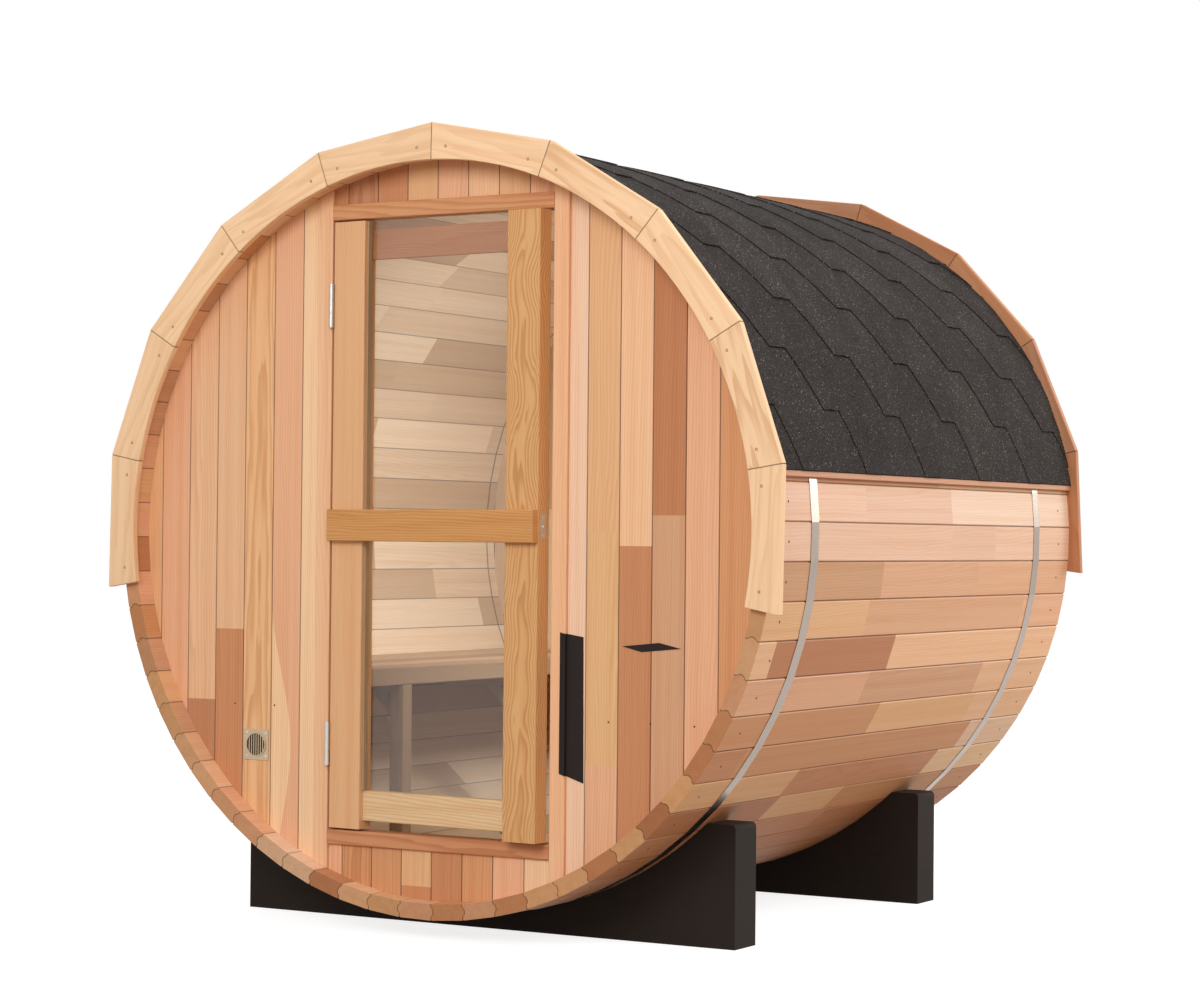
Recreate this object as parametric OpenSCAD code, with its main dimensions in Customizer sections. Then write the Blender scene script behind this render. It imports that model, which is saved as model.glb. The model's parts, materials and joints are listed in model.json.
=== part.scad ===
// Barrel sauna: staves held by two steel bands, resting in two cradles, with a
// shingled upper half, boarded end walls, a framed glass door and one bench.
// Millimetres. X is right, Y is back and Z is up from the ground under the middle.

/* [Barrel] */
// Outer diameter across the corners of the staves
barrel_d = 1830; // [1600:10:2100]
// Length of the staves
barrel_len = 1760; // [1500:10:2400]
// Height of the lowest stave above the ground
barrel_lift = 45; // [35:1:80]
// Number of staves round the barrel
stave_count = 64; // [56:1:72]
// Thickness of a stave
stave_t = 38; // [32:1:46]
// Angle of the first stave joint above the middle of the right side
stave_turn = 1.5; // [0:0.1:3]
// Radius of the rounded bead along one edge of a stave
bead_r = 13; // [10:0.5:15]
// How far the bead stands out into the cove of the next stave
bead_h = 6.5; // [4:0.5:8]
// Chamfer along the outer edges of a stave
stave_chamfer = 3; // [1:0.5:4]
// Gap between neighbouring staves
stave_gap = 0.3; // [0.2:0.1:0.6]
// Depth of the groove in the staves that holds an end wall
croze_depth = 8; // [5:1:10]

/* [Bands] */
// Width of a steel band
band_w = 38; // [25:1:60]
// Thickness of a steel band
band_t = 1.2; // [0.8:0.1:2]
// Distance of the front band's middle from the front ends of the staves
front_band_inset = 203; // [120:1:215]
// Distance of the rear band's middle from the rear ends of the staves
rear_band_inset = 235; // [120:1:350]
// Gap between a band and the faces of the staves
band_clear = 0.2; // [0.1:0.1:0.4]

/* [Cradles] */
// Width of a cradle across the barrel
cradle_w = 1390; // [1250:10:1500]
// Thickness of a cradle along the barrel
cradle_t = 103; // [80:1:140]
// Height of the ends of a cradle
cradle_h = 287; // [230:1:320]
// Radius of the upper outer corners of a cradle
cradle_corner_r = 12; // [5:1:20]
// Distance of the front cradle from the front ends of the staves
front_cradle_inset = 250; // [240:1:350]
// Distance of the rear cradle from the rear ends of the staves
rear_cradle_inset = 389; // [380:1:500]
// Gap between a cradle and the corners of the staves
cradle_clear = 0.3; // [0.1:0.1:0.6]

/* [Roof] */
// Angle of the roof's lower edge above the middle of the side
roof_edge_angle = 8.6; // [6:0.1:15]
// Number of shingle courses on each side of the ridge
course_count = 9; // [6:1:12]
// Thickness of the shingles with their underlay
roof_t = 6; // [4:0.5:10]
// Gap round the shingle courses and the edge battens
roof_clear = 0.3; // [0.2:0.1:0.6]
// Height of the batten under the roof's lower edge
batten_h = 14; // [10:1:20]
// Thickness of that batten
batten_t = 10; // [8:1:16]

/* [Trim rings] */
// Number of mitred boards in a trim ring
trim_count = 10; // [8:1:14]
// Angle that each trim board takes up
trim_step = 20; // [16:0.5:21]
// Thickness of the trim boards
trim_t = 19; // [12:1:30]
// How far the trim's corners stand out past the corners of the staves
trim_reach = 41; // [35:1:60]
// How far the trim's inner edge covers the mouth of the barrel
trim_lip = 8; // [2:1:20]
// Gap at each mitre
trim_gap = 0.3; // [0.2:0.1:0.6]
// Angle by which the front ring is turned on the barrel
front_trim_turn = -1; // [-3:0.1:3]
// Angle by which the rear ring is turned on the barrel
rear_trim_turn = 2.6; // [-3:0.1:3]
// How far the rear ring is set above the middle of the barrel
rear_trim_rise = 24; // [0:1:28]

/* [End walls] */
// Distance of the end walls' outer faces from the ends of the staves
wall_recess = 55; // [50:1:90]
// Thickness of the end walls
wall_t = 38; // [30:1:46]
// Width that one wall board covers
board_pitch = 86; // [70:1:110]
// Width of the cut board beside each door jamb
jamb_board_w = 50; // [40:1:70]
// Distance of the joint nearest the middle of the barrel from its centre line
board_shift = -13; // [-20:1:20]
// Narrowest board that is left at an edge
least_board = 14; // [10:1:20]
// Chamfer along the outer edges of a wall board
board_chamfer = 1.5; // [1:0.5:4]
// Gap between neighbouring boards
board_gap = 0.3; // [0.2:0.1:0.6]
// Gap between a wall and the sides of its groove
wall_clear = 0.3; // [0.1:0.1:0.5]

/* [Door frame] */
// Width of a jamb post
jamb_w = 41; // [34:1:50]
// How far the jambs, header and sill stand out from the wall
frame_proud = 8; // [4:1:14]
// Height of the header
header_h = 38; // [30:1:50]
// Height of the sill
sill_h = 36; // [30:1:50]
// Height of the wall over the header at the middle
over_door_h = 92; // [85:1:160]
// Height of the wall under the sill at the middle
under_door_h = 116; // [85:1:160]
// Radius of the eased edges of the frame and the door
eased_r = 3; // [1:0.5:5]

/* [Door] */
// Width of the door
door_w = 614; // [540:1:650]
// Thickness of the door
door_t = 44; // [40:1:50]
// Angle by which the door stands open at rest
door_ajar = 4.2; // [2:0.1:8]
// Gap between the door and the jamb on the hinge side
hinge_gap = 5; // [5:0.5:6]
// Gap between the door and the jamb on the latch side
latch_gap = 8; // [8:0.5:12]
// Gap above and below the door
door_gap = 5; // [5:0.5:8]
// Width of a door stile
stile_w = 94; // [70:1:110]
// Height of the top and bottom rails
rail_h = 72; // [50:1:100]
// Distance of the rails from the ends of the stiles
rail_inset = 20; // [10:1:40]
// Distance of the bottom rail behind the front of the stiles
bottom_rail_set = 14; // [6:1:18]
// Distance of the glass behind the front of the stiles
glass_set = 24; // [22:1:28]
// Thickness of the glass
glass_t = 5; // [4:0.5:8]
// Depth of the glass in the grooves of the door's frame
glass_seat = 10; // [6:1:14]
// Width of the stop that holds the glass against each stile
stop_w = 5; // [3:0.5:10]
// Depth of that stop
stop_t = 14; // [8:1:18]
// Gap round the glass and at the ends of the rails
door_clear = 0.3; // [0.2:0.1:0.6]
// Height of the rail across the front of the door
cross_rail_h = 76; // [50:1:100]
// Thickness of that rail
cross_rail_t = 19; // [14:1:20]
// Height of that rail's middle above the axis of the barrel
cross_rail_rise = 9; // [-60:1:80]

/* [Hinges and latch] */
// Height of a hinge
hinge_h = 105; // [80:1:130]
// Distance of a hinge's middle from the end of the door
hinge_inset = 202; // [120:1:300]
// Radius of a hinge knuckle
knuckle_r = 6; // [5:0.5:6.5]
// Radius of the hinge pin
pin_r = 3; // [2:0.5:3.5]
// Gap between the pin, the knuckles and what turns beside them
hinge_clear = 0.5; // [0.3:0.1:0.7]
// Thickness of a hinge leaf
leaf_t = 2; // [1.5:0.1:2.2]
// Width of a hinge leaf along the side of the door
leaf_w = 33; // [20:1:36]
// Height of the latch plate
latch_h = 58; // [40:1:80]
// Width of the latch plate
latch_w = 24; // [14:1:32]
// Thickness of the latch plate
latch_t = 1.5; // [1:0.1:3]

/* [Vent] */
// Width and height of the vent's plate
vent_w = 75; // [66:1:90]
// Thickness of the vent's plate
vent_t = 2; // [1.5:0.1:4]
// Radius of the vent's round grille
vent_r = 27; // [22:1:30]
// Width of the raised rim round the grille
vent_rim = 3; // [2:0.5:4]
// Height of the raised rim
vent_rim_h = 2; // [1:0.5:4]
// Number of bars in the grille
vent_bars = 7; // [5:2:9]
// Width of one bar
vent_bar_w = 2.6; // [1.5:0.1:3]
// Number of the whole board, counted from the jamb, that carries the vent
vent_board = 2; // [1:1:3]
// Distance of the vent's middle from the inside of the barrel
vent_margin = 125; // [110:1:200]

/* [Bench] */
// Distance of the bench's front edge from the centre line
bench_edge = 300; // [260:1:360]
// Depth of the seat's top below the axis of the barrel
bench_drop = 344; // [300:1:400]
// Thickness of the seat slats
slat_t = 28; // [20:1:34]
// Number of seat slats
slat_count = 5; // [4:1:7]
// Gap between neighbouring slats
slat_gap = 8; // [4:1:14]
// Height of the board along the front of the bench
fascia_h = 44; // [38:1:60]
// Thickness of that board
fascia_t = 22; // [18:1:30]
// Width of a bench leg
leg_w = 40; // [34:1:50]
// Distance from one bench leg to the next
leg_step = 528; // [420:1:560]
// Distance of the middle leg from the middle of the barrel
leg_shift = 20; // [-30:1:40]
// Height of the bearer behind each leg
bearer_h = 40; // [30:1:60]
// Depth of a brace's foot below the bearer
brace_drop = 58; // [45:1:90]
// Height of a brace where it meets the leg
brace_w = 42; // [25:1:44]
// Thickness of a brace
brace_t = 24; // [16:1:32]
// Gap between the bench and the barrel round it
bench_clear = 0.3; // [0.1:0.1:0.6]

/* [Hidden] */
$fn = 64;
cut = 1;

// Barrel
barrel_r = barrel_d / 2;
axis_z = barrel_lift + barrel_r;
half_len = barrel_len / 2;
stave_half = 180 / stave_count;
stave_out = barrel_r * cos(stave_half);
stave_in = stave_out - stave_t;
stave_mid = stave_out - stave_t / 2;
bead_set = bead_r - bead_h;
group_count = 8;

// Bands and the roof over them
band_flat = stave_out + band_clear;
band_out = (band_flat + band_t) / cos(stave_half);
roof_in = band_out + roof_clear;
course_angle = (90 - roof_edge_angle) / course_count;
roof_len = barrel_len - 2 * roof_clear;

// Trim rings
trim_half = trim_step / 2;
trim_out = (barrel_r + trim_reach) * cos(trim_half);
trim_in = stave_in - trim_lip;
trim_start = 90 - trim_count * trim_half;

// End walls
wall_front = wall_recess - half_len;
wall_back = wall_front + wall_t;
wall_r = stave_in + croze_depth - wall_clear;
room_len = 2 * -wall_back;

// Door frame and door
frame_front = wall_front - frame_proud;
hinge_jamb_x = -door_w / 2 - hinge_gap;
latch_jamb_x = door_w / 2 + latch_gap;
header_z = axis_z + stave_in - over_door_h - header_h;
sill_z = axis_z - stave_in + under_door_h;
door_z = sill_z + sill_h + door_gap;
door_top = header_z - door_gap;
door_h = door_top - door_z;
door_front = frame_front;
door_back = door_front + door_t;
glass_front = door_front + glass_set;
glass_w = door_w - 2 * stile_w;
bottom_rail_z = door_z + rail_inset;
bottom_rail_top = bottom_rail_z + rail_h;
top_rail_z = door_top - rail_inset - rail_h;
cross_rail_z = axis_z + cross_rail_rise;

// Hinge axis
hinge_x = -(door_w + hinge_gap) / 2;
hinge_y = door_front - knuckle_r;
knuckle_h = hinge_h / 3;
leaf_front = hinge_y + knuckle_r + hinge_clear;

// Vent
vent_x = jamb_w + jamb_board_w - hinge_jamb_x + vent_board * board_pitch - board_pitch / 2;
vent_z = axis_z - sqrt(pow(stave_in - vent_margin, 2) - pow(vent_x, 2));

// Bench
seat_top = axis_z - bench_drop;
bearer_top = seat_top - slat_t;
bearer_z = bearer_top - bearer_h;
leg_top = seat_top - fascia_h;
leg_back_x = bench_edge + leg_w;
room_r = stave_in - bench_clear;
slat_start = bench_edge + fascia_t;
slat_pitch = (sqrt(pow(room_r, 2) - pow(bench_drop, 2)) - slat_start) / slat_count;
bench_len = room_len - 2 * bench_clear;

// Half width at a radius of a wedge between two planes through the axis
function wedge_half(radius, half_angle, gap) =
    radius * tan(half_angle) - gap / 2 / cos(half_angle);

// Whether a stave joint, counted round from the first, is on the right half of the barrel
function joint_on_right(joint) = cos(stave_turn + 2 * joint * stave_half) > 0;

// Corners of a ring with one flat for each stave, at a distance from the axis
function stave_corners(flat_r) =
    [
        for (k = [0 : stave_count - 1])
            let (angle = stave_turn + 2 * k * stave_half)
            flat_r / cos(stave_half) * [cos(angle), sin(angle)]
    ];

// Edges of the boards between two sides, with one joint at a known place
function board_edges(from, to, joint) =
    let (
        first = ceil((from + least_board - joint) / board_pitch),
        last = floor((to - least_board - joint) / board_pitch)
    )
    concat(from, [for (k = [first : 1 : last]) joint + k * board_pitch], to);

// Extrudes a shape drawn across the barrel, from a place along it
module along_barrel(from, len) {
    translate([0, from + len, axis_z])
        rotate([90, 0, 0])
            linear_extrude(len) children();
}

// One half of a part that is the same on both sides
module on_left() {
    mirror([1, 0, 0]) children();
}

// Bar's cross-section with its two front edges eased
module eased_bar(width, depth) {
    translate([eased_r, 0]) square([width - 2 * eased_r, depth]);
    translate([0, eased_r]) square([width, depth - eased_r]);
    for (side = [eased_r, width - eased_r])
        translate([side, eased_r]) circle(eased_r);
}

// Upright bar with eased front edges, from its lower front corner
module upright(width, depth, height) {
    linear_extrude(height) eased_bar(width, depth);
}

// Level bar with eased front edges, from its lower front corner
module level(width, depth, height) {
    translate([width, 0, 0])
        rotate([0, -90, 0])
            linear_extrude(width) eased_bar(height, depth);
}

// Round space of a given radius along the whole barrel
module round_space(radius) {
    along_barrel(-half_len, barrel_len) circle(radius);
}

// Turns the door from shut to where it stands at rest
module ajar() {
    translate([hinge_x, hinge_y, 0])
        rotate([0, 0, -door_ajar])
            translate([-hinge_x, -hinge_y, 0]) children();
}

// Staves

// Round edge of a stave towards its upper side, or the cove that takes it
module bead(clear) {
    bead_y = wedge_half(stave_mid, stave_half, stave_gap) - bead_set;
    translate([stave_mid, bead_y]) circle(bead_r + clear);
}

// Beads point up the barrel on both sides: the lowest stave has two beads, the highest two coves
module stave_outline(index) {
    edge = stave_out - stave_chamfer;
    in_w = wedge_half(stave_in, stave_half, stave_gap);
    edge_w = wedge_half(edge, stave_half, stave_gap);
    face_w = edge_w - stave_chamfer;
    difference() {
        union() {
            polygon([
                [stave_in, -in_w], [edge, -edge_w], [stave_out, -face_w],
                [stave_out, face_w], [edge, edge_w], [stave_in, in_w]
            ]);
            if (joint_on_right(index + 1)) bead(0);
            if (!joint_on_right(index)) mirror([0, 1]) bead(0);
        }
        if (joint_on_right(index)) rotate(-2 * stave_half) bead(stave_gap);
        if (!joint_on_right(index + 1)) rotate(2 * stave_half) mirror([0, 1]) bead(stave_gap);
    }
}

// Groove across the inside of a stave for an end wall
module croze(from) {
    translate([stave_in - cut, from - wall_clear, -barrel_r])
        cube([croze_depth + cut, wall_t + 2 * wall_clear, barrel_d]);
}

module stave(index) {
    angle = stave_turn + (2 * index + 1) * stave_half;
    translate([0, 0, axis_z])
        rotate([0, -angle, 0])
            difference() {
                translate([0, 0, -axis_z])
                    along_barrel(-half_len, barrel_len) stave_outline(index);
                croze(wall_front);
                croze(-wall_back);
            }
}

// One eighth of the barrel, with the first group centred on the right side
module stave_group(group) {
    turned = round(-stave_count / group_count / 2);
    first = turned + round(group * stave_count / group_count);
    last = turned + round((group + 1) * stave_count / group_count) - 1;
    color("burlywood")
        for (index = [first : last]) stave(index);
}

// Bands and cradles

// Steel strap pulled flat onto the face of every stave
module band(middle) {
    color("silver")
        along_barrel(middle - band_w / 2, band_w)
            difference() {
                polygon(stave_corners(band_flat + band_t));
                polygon(stave_corners(band_flat));
            }
}

module cradle_outline() {
    straight_w = cradle_w / 2 - cradle_corner_r;
    difference() {
        union() {
            translate([-cradle_w / 2, 0])
                square([cradle_w, cradle_h - cradle_corner_r]);
            translate([-straight_w, 0])
                square([2 * straight_w, cradle_h]);
            for (side = [-1, 1])
                translate([side * straight_w, cradle_h - cradle_corner_r])
                    circle(cradle_corner_r);
        }
        translate([0, axis_z]) circle(barrel_r + cradle_clear);
    }
}

module cradle(from) {
    color([0.17, 0.15, 0.14])
        translate([0, 0, -axis_z])
            along_barrel(from, cradle_t) cradle_outline();
}

// Roof

module roof_courses() {
    color([0.24, 0.23, 0.22])
        for (course = [0 : course_count - 1])
            translate([0, 0, axis_z])
                rotate([90, 0, 0])
                    rotate([0, 0, roof_edge_angle + course * course_angle])
                        course_strip();
}

// One curved strip of shingles, from its lower edge to the next course
module course_strip() {
    gap_angle = roof_clear / roof_in * 180 / PI;
    rotate_extrude(angle = course_angle - gap_angle)
        translate([roof_in, -roof_len / 2])
            square([roof_t, roof_len]);
}

module roof_batten() {
    color("tan")
        translate([0, roof_len / 2, axis_z])
            rotate([90, 0, 0])
                rotate([0, 0, roof_edge_angle])
                    translate([roof_in, -batten_h - roof_clear, 0])
                        cube([batten_t, batten_h, roof_len]);
}

// Trim rings

module trim_board(index) {
    inside = trim_in * cos(trim_half) - cut;
    in_w = wedge_half(inside, trim_half, trim_gap);
    out_w = wedge_half(trim_out, trim_half, trim_gap);
    difference() {
        rotate(trim_start + (2 * index + 1) * trim_half)
            polygon([
                [inside, -in_w], [trim_out, -out_w], [trim_out, out_w], [inside, in_w]
            ]);
        circle(trim_in);
    }
}

module trim_ring(from, turn, rise) {
    color("navajowhite")
        for (index = [0 : trim_count - 1])
            along_barrel(from, trim_t)
                translate([0, rise]) rotate(turn) trim_board(index);
}

// End walls

// Flat disc that fits the grooves of the staves
module wall_disc(from, len) {
    along_barrel(from, len) polygon(stave_corners(wall_r));
}

module wall_board(from, to) {
    left = from + board_gap / 2;
    right = to - board_gap / 2;
    shoulder = wall_front + board_chamfer;
    linear_extrude(axis_z + barrel_r)
        polygon([
            [left, wall_back], [left, shoulder], [left + board_chamfer, wall_front],
            [right - board_chamfer, wall_front], [right, shoulder], [right, wall_back]
        ]);
}

module wall_boards(edges) {
    for (k = [0 : len(edges) - 2]) wall_board(edges[k], edges[k + 1]);
}

// Boards from a jamb to the side of the barrel, drawn on the right
module side_boards(jamb_x) {
    wall_boards(board_edges(jamb_x + jamb_w, wall_r + cut, jamb_x + jamb_w + jamb_board_w));
}

module vent_bore() {
    translate([-vent_x, wall_front - cut, vent_z])
        rotate([-90, 0, 0]) cylinder(r = vent_r, h = wall_t + 2 * cut);
}

module front_wall_left() {
    color("peru")
        difference() {
            intersection() {
                on_left() side_boards(-hinge_jamb_x);
                wall_disc(wall_front, wall_t);
            }
            vent_bore();
        }
}

module front_wall_right() {
    color("peru")
        intersection() {
            side_boards(latch_jamb_x);
            wall_disc(wall_front, wall_t);
        }
}

// Boards between the jambs over a range of heights
module door_boards(from_z, to_z) {
    color("peru")
        intersection() {
            wall_boards(board_edges(hinge_jamb_x, latch_jamb_x, board_shift));
            wall_disc(wall_front, wall_t);
            translate([-barrel_r, wall_front - cut, from_z])
                cube([barrel_d, wall_t + 2 * cut, to_z - from_z]);
        }
}

module front_wall_over_door() {
    door_boards(header_z + header_h, axis_z + barrel_r);
}

module front_wall_under_door() {
    door_boards(0, sill_z);
}

module rear_wall() {
    reach = wall_r + cut;
    color("peru")
        intersection() {
            mirror([0, 1, 0]) wall_boards(board_edges(-reach, reach, board_shift));
            wall_disc(-wall_back, wall_t);
        }
}

// Door frame

module jamb(from_x) {
    color("sandybrown")
        intersection() {
            translate([from_x, frame_front, 0])
                upright(jamb_w, wall_back - frame_front, axis_z + barrel_r);
            union() {
                wall_disc(wall_front, wall_t);
                along_barrel(frame_front, frame_proud) circle(stave_in - wall_clear);
            }
        }
}

module frame_bar(from_z, height) {
    color("chocolate")
        translate([hinge_jamb_x, frame_front, from_z])
            level(latch_jamb_x - hinge_jamb_x, wall_back - frame_front, height);
}

// Door, drawn shut and then turned to where it stands

module glass_pane(clear) {
    reach = glass_w / 2 + glass_seat - clear;
    foot = bottom_rail_top - glass_seat + clear;
    translate([-reach, glass_front + clear, foot])
        cube([2 * reach, glass_t - 2 * clear, door_top - foot]);
}

module stile(from_x) {
    difference() {
        translate([from_x, door_front, door_z])
            upright(stile_w, door_t, door_h);
        glass_pane(-door_clear);
        latch_plate(door_clear);
    }
}

module latch_plate(clear) {
    translate([
        door_w / 2 - latch_t,
        door_front + (door_t - latch_w) / 2 - clear,
        cross_rail_z - latch_h / 2 - clear
    ])
        cube([latch_t + clear, latch_w + 2 * clear, latch_h + 2 * clear]);
}

module door_stile_left() {
    color("sandybrown") ajar() stile(-door_w / 2);
}

module door_stile_right() {
    color("goldenrod") ajar() stile(door_w / 2 - stile_w);
}

module door_top_rail() {
    rail_w = glass_w - 2 * door_clear;
    rail_front = glass_front + glass_t + door_clear;
    color("sienna") ajar()
        translate([-rail_w / 2, rail_front, top_rail_z])
            cube([rail_w, door_back - rail_front, rail_h]);
}

module door_bottom_rail() {
    rail_w = glass_w - 2 * door_clear;
    rail_front = door_front + bottom_rail_set;
    color("wheat") ajar()
        difference() {
            translate([-rail_w / 2, rail_front, bottom_rail_z])
                level(rail_w, door_back - rail_front, rail_h);
            glass_pane(-door_clear);
        }
}

module door_glass() {
    color([0.7, 0.8, 0.8, 0.4]) ajar() glass_pane(door_clear);
}

// Strips in front of the glass, one along each stile
module door_glass_stops() {
    foot = bottom_rail_top + door_clear;
    color("wheat") ajar()
        for (from_x = [-glass_w / 2, glass_w / 2 - stop_w])
            translate([from_x, glass_front - stop_t, foot])
                cube([stop_w, stop_t, door_top - foot]);
}

module door_cross_rail() {
    color("goldenrod") ajar()
        translate([-door_w / 2, door_front - cross_rail_t, cross_rail_z - cross_rail_h / 2])
            level(door_w, cross_rail_t, cross_rail_h);
}

module door_latch_plate() {
    color("silver") ajar() latch_plate(0);
}

// Hinges

module each_hinge() {
    for (middle = [door_z + hinge_inset, door_top - hinge_inset])
        translate([0, 0, middle - hinge_h / 2]) children();
}

// Leaf along one side of the gap, joined to knuckles over the given thirds
module leaf(from_x, thirds, clear) {
    translate([from_x, leaf_front, 0])
        cube([leaf_t, leaf_w, hinge_h]);
    for (third = thirds)
        translate([0, 0, third * knuckle_h + clear]) {
            translate([from_x, hinge_y, 0])
                cube([leaf_t, leaf_front - hinge_y, knuckle_h - 2 * clear]);
            translate([hinge_x, hinge_y, 0])
                cylinder(r = knuckle_r, h = knuckle_h - 2 * clear);
        }
}

module hinge_frame_leaves() {
    color("silver")
        each_hinge() {
            leaf(hinge_jamb_x, [0, 2], 0);
            translate([hinge_x, hinge_y, 0])
                cylinder(r = pin_r, h = hinge_h);
        }
}

module hinge_door_leaves() {
    color("silver") ajar()
        each_hinge()
            difference() {
                leaf(-door_w / 2 - leaf_t, [1], hinge_clear);
                translate([hinge_x, hinge_y, -cut])
                    cylinder(r = pin_r + hinge_clear, h = hinge_h + 2 * cut);
            }
}

// Vent

module wall_vent() {
    bar_step = 2 * vent_r / (vent_bars + 1);
    color("lightgray")
        translate([-vent_x, wall_front, vent_z])
            rotate([90, 0, 0])
                union() {
                    linear_extrude(vent_t)
                        difference() {
                            square(vent_w, center = true);
                            circle(vent_r);
                        }
                    linear_extrude(vent_t + vent_rim_h)
                        difference() {
                            circle(vent_r + vent_rim);
                            circle(vent_r);
                        }
                    for (bar = [1 : vent_bars])
                        translate([bar * bar_step - vent_r, 0, 0])
                            vent_bar(abs(bar * bar_step - vent_r));
                }
}

// Upright bar of the grille, which ends inside the rim
module vent_bar(offset) {
    reach = sqrt(pow(vent_r + vent_rim / 2, 2) - pow(offset + vent_bar_w / 2, 2));
    translate([-vent_bar_w / 2, -reach, 0])
        cube([vent_bar_w, 2 * reach, vent_t]);
}

// Bench, along the left side

module bench_seat() {
    color("antiquewhite")
        intersection() {
            for (slat = [0 : slat_count - 1])
                translate([
                    -slat_start - (slat + 1) * slat_pitch + slat_gap,
                    -bench_len / 2,
                    bearer_top
                ])
                    cube([slat_pitch - slat_gap, bench_len, slat_t]);
            round_space(room_r);
        }
}

module bench_fascia() {
    color("antiquewhite")
        translate([-slat_start, -bench_len / 2, seat_top - fascia_h])
            cube([fascia_t, bench_len, fascia_h]);
}

module each_leg() {
    for (k = [-1 : 1])
        translate([0, leg_shift + k * leg_step, 0]) children();
}

module bench_legs() {
    color("antiquewhite")
        intersection() {
            each_leg()
                translate([-leg_back_x, -leg_w / 2, 0])
                    cube([leg_w, leg_w, leg_top]);
            round_space(room_r);
        }
}

module bench_bearers() {
    color("antiquewhite")
        intersection() {
            each_leg()
                translate([-barrel_r, -leg_w / 2, bearer_z])
                    cube([barrel_r - leg_back_x, leg_w, bearer_h]);
            round_space(room_r);
        }
}

module bench_braces() {
    color("antiquewhite")
        each_leg()
            translate([-leg_back_x, brace_t / 2, bearer_z])
                rotate([90, 0, 0])
                    linear_extrude(brace_t)
                        polygon([
                            [0, -brace_drop], [0, brace_w - brace_drop],
                            [brace_w - brace_drop, 0], [-brace_drop, 0]
                        ]);
}

stave_group(0);  // staves_right
stave_group(1);  // staves_upper_right
stave_group(2);  // staves_top
stave_group(3);  // staves_upper_left
stave_group(4);  // staves_left
stave_group(5);  // staves_lower_left
stave_group(6);  // staves_bottom
stave_group(7);  // staves_lower_right
band(front_band_inset - half_len);  // front_band
band(half_len - rear_band_inset);  // rear_band
cradle(front_cradle_inset - half_len);  // front_cradle
cradle(half_len - rear_cradle_inset - cradle_t);  // rear_cradle
roof_courses();  // roof_right
on_left() roof_courses();  // roof_left
roof_batten();  // roof_batten_right
on_left() roof_batten();  // roof_batten_left
trim_ring(-half_len - trim_t, front_trim_turn, 0);  // front_trim
trim_ring(half_len, rear_trim_turn, rear_trim_rise);  // rear_trim
front_wall_left();
front_wall_right();
front_wall_over_door();
front_wall_under_door();
rear_wall();
jamb(hinge_jamb_x - jamb_w);  // door_jamb_left
jamb(latch_jamb_x);  // door_jamb_right
frame_bar(header_z, header_h);  // door_header
frame_bar(sill_z, sill_h);  // door_sill
door_stile_left();
door_stile_right();
door_top_rail();
door_bottom_rail();
door_glass();
door_glass_stops();
door_cross_rail();
door_latch_plate();
hinge_frame_leaves();
hinge_door_leaves();
wall_vent();
bench_seat();
bench_fascia();
bench_legs();
bench_bearers();
bench_braces();
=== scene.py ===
"""Looks of a barrel sauna, in metres, in the frame of its solids."""

import json
import math
import random

import bmesh
import bpy
from mathutils import Matrix, Vector

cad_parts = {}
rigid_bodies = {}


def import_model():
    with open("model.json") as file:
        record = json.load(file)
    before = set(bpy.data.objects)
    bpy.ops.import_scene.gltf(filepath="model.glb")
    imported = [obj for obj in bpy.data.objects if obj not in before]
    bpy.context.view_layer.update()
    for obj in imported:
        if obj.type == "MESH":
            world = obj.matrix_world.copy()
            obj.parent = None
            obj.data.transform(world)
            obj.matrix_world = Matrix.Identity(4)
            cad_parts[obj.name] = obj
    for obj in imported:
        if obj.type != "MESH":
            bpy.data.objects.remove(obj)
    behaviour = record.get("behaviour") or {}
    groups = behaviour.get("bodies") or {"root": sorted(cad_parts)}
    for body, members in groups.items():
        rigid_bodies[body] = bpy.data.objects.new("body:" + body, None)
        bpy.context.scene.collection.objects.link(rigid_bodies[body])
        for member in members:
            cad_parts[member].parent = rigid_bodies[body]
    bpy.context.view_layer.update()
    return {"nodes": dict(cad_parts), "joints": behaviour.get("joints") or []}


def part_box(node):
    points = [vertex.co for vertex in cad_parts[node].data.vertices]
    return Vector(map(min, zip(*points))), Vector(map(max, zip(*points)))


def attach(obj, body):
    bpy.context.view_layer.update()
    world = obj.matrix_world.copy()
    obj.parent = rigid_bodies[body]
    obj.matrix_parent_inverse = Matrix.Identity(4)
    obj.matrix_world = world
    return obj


for thing in list(bpy.data.objects):
    bpy.data.objects.remove(thing)
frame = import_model()
NODES = frame["nodes"]
MM = 0.001

# Camera, fitted to edges of the object in an image of this size
IMAGE_W = 1200
FOCAL_PIXELS = 2872.7
SENSOR_W = 36.0
CAMERA_AT = Vector((3.7710, -6.4857, 0.9392))
CAMERA_YAW = math.radians(30.473)
CAMERA_PITCH = math.radians(0.827)
CAMERA_ROLL = math.radians(0.522)

# Light
WORLD_LIGHT = 0.60
FLOOR_SEEN = (0.92, 0.92, 0.92, 1.0)
FLOOR_BOUNCE = (0.37, 0.31, 0.24, 1.0)
FLOOR_GLOW = 0.60
FLOOR_WHITE = 1.35
FLOOR_REACH = 60.0

# Barrel
BAND_LOW, BAND_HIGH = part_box("front_band")
AXIS_Z = (BAND_LOW.z + BAND_HIGH.z) / 2
STAVE_COUNT = 64
STAVE_STEP = 2 * math.pi / STAVE_COUNT
STAVE_TURN = math.radians(1.5)
BARREL_R = 0.915
STAVE_OUT = BARREL_R * math.cos(STAVE_STEP / 2)
STAVE_T = 0.038
STAVE_MID = STAVE_OUT - STAVE_T / 2
BEAD_R = 0.013
BEAD_SET = 0.0065
# Past these places, along a stave and into it, are its ends and its face inside the room
STAVE_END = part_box("staves_bottom")[1].y - 0.5 * MM
INNER_FACE = -STAVE_T / 2 + 2.5 * MM
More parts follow.
